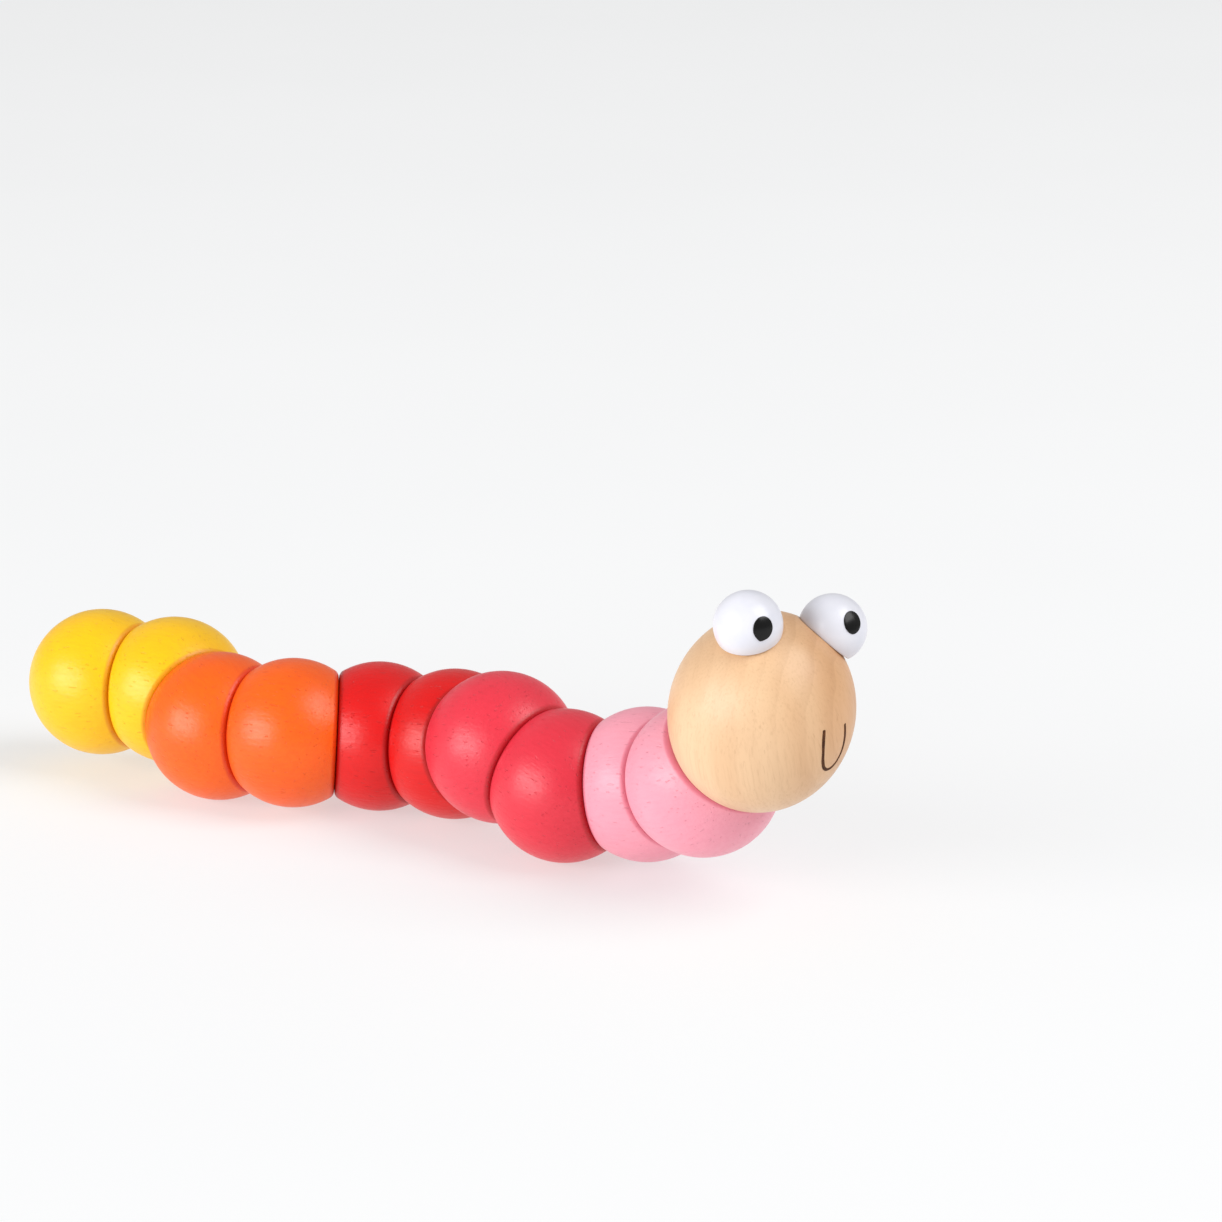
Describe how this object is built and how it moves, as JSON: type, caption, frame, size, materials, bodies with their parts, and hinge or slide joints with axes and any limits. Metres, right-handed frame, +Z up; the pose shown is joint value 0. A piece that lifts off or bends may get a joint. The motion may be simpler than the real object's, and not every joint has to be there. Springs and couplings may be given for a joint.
{
  "type": "wooden twisting worm toy",
  "caption": "Wooden twisting worm: wedge-cut painted balls and a big-eyed head on one elastic cord, each turning on the next.",
  "frame": {"origin": "below the middle of the toy's box, on the surface it stands on", "axes": "+Z up, +X along the row from the tail end to the head end as seen from the front, +Y towards the back"},
  "size_m": [0.1674, 0.1222, 0.0645],
  "materials": {
    "yellow_paint": "satin paint on wood",
    "orange_paint": "satin paint on wood",
    "red_paint": "satin paint on wood",
    "raspberry_paint": "satin paint on wood",
    "pink_paint": "satin paint on wood",
    "plain_wood": "satin clear lacquer",
    "bare_wood": "bare turned wood",
    "eye_white": "satin white paint on wood",
    "pupil_enamel": "gloss black enamel, a raised drop on each eye",
    "burned_line": "line burned into the wood",
    "elastic_cord": "braided elastic"
  },
  "bodies": {
    "yellow_1": {"yellow_1_ball": "yellow_paint", "cord_in_yellow_1": "elastic_cord", "tail_knot": "elastic_cord", "tail_plug": "yellow_paint"},
    "yellow_2": {"yellow_2_ball": "yellow_paint", "cord_in_yellow_2": "elastic_cord"},
    "orange_1": {"orange_1_ball": "orange_paint", "cord_in_orange_1": "elastic_cord"},
    "orange_2": {"orange_2_ball": "orange_paint", "cord_in_orange_2": "elastic_cord"},
    "red_1": {"red_1_ball": "red_paint", "cord_in_red_1": "elastic_cord"},
    "red_2": {"red_2_ball": "red_paint", "cord_in_red_2": "elastic_cord"},
    "raspberry_1": {"raspberry_1_ball": "raspberry_paint", "cord_in_raspberry_1": "elastic_cord"},
    "raspberry_2": {"raspberry_2_ball": "raspberry_paint", "cord_in_raspberry_2": "elastic_cord"},
    "pink_1": {"pink_1_ball": "pink_paint", "cord_in_pink_1": "elastic_cord"},
    "pink_2": {"pink_2_ball": "pink_paint", "cord_in_pink_2": "elastic_cord"},
    "head": {"head_ball": "plain_wood", "eye_left": "eye_white", "eye_right": "eye_white", "neck_bush": "bare_wood", "head_knot": "elastic_cord", "cord_in_head": "elastic_cord"}
  },
  "joints": [
    {"name": "yellow_2_to_yellow_1", "type": "hinge", "parent": "yellow_2", "child": "yellow_1", "pos_m": [-0.06094, 0.04242, 0.01837], "axis": [-0.9035, 0.4276, -0.0273], "continuous": true},
    {"name": "orange_1_to_yellow_2", "type": "hinge", "parent": "orange_1", "child": "yellow_2", "pos_m": [-0.04801, 0.03209, 0.0168], "axis": [-0.5991, 0.7728, 0.2095], "continuous": true},
    {"name": "orange_2_to_orange_1", "type": "hinge", "parent": "orange_2", "child": "orange_1", "pos_m": [-0.03516, 0.02166, 0.01546], "axis": [-0.8961, 0.4406, -0.0539], "continuous": true},
    {"name": "red_1_to_orange_2", "type": "hinge", "parent": "red_1", "child": "orange_2", "pos_m": [-0.01888, 0.01835, 0.01546], "axis": [-0.997, -0.0555, 0.0539], "continuous": true},
    {"name": "red_1_to_red_2", "type": "hinge", "parent": "red_1", "child": "red_2", "pos_m": [-0.0026, 0.01502, 0.01539], "axis": [0.8957, -0.4423, 0.0454], "continuous": true},
    {"name": "red_2_to_raspberry_1", "type": "hinge", "parent": "red_2", "child": "raspberry_1", "pos_m": [0.00992, 0.00432, 0.01757], "axis": [0.5605, -0.8016, 0.2082], "continuous": true},
    {"name": "raspberry_1_to_raspberry_2", "type": "hinge", "parent": "raspberry_1", "child": "raspberry_2", "pos_m": [0.021, -0.00806, 0.01718], "axis": [0.7274, -0.6376, -0.2536], "continuous": true},
    {"name": "raspberry_2_to_pink_1", "type": "hinge", "parent": "raspberry_2", "child": "pink_1", "pos_m": [0.03521, -0.0166, 0.01614], "axis": [0.925, -0.3559, 0.1331], "continuous": true},
    {"name": "pink_1_to_pink_2", "type": "hinge", "parent": "pink_1", "child": "pink_2", "pos_m": [0.04842, -0.02596, 0.01987], "axis": [0.6113, -0.7322, 0.3001], "continuous": true},
    {"name": "pink_2_to_head", "type": "hinge", "parent": "pink_2", "child": "head", "pos_m": [0.05763, -0.03653, 0.02878], "axis": [0.4597, -0.4973, 0.7358], "continuous": true}
  ]
}
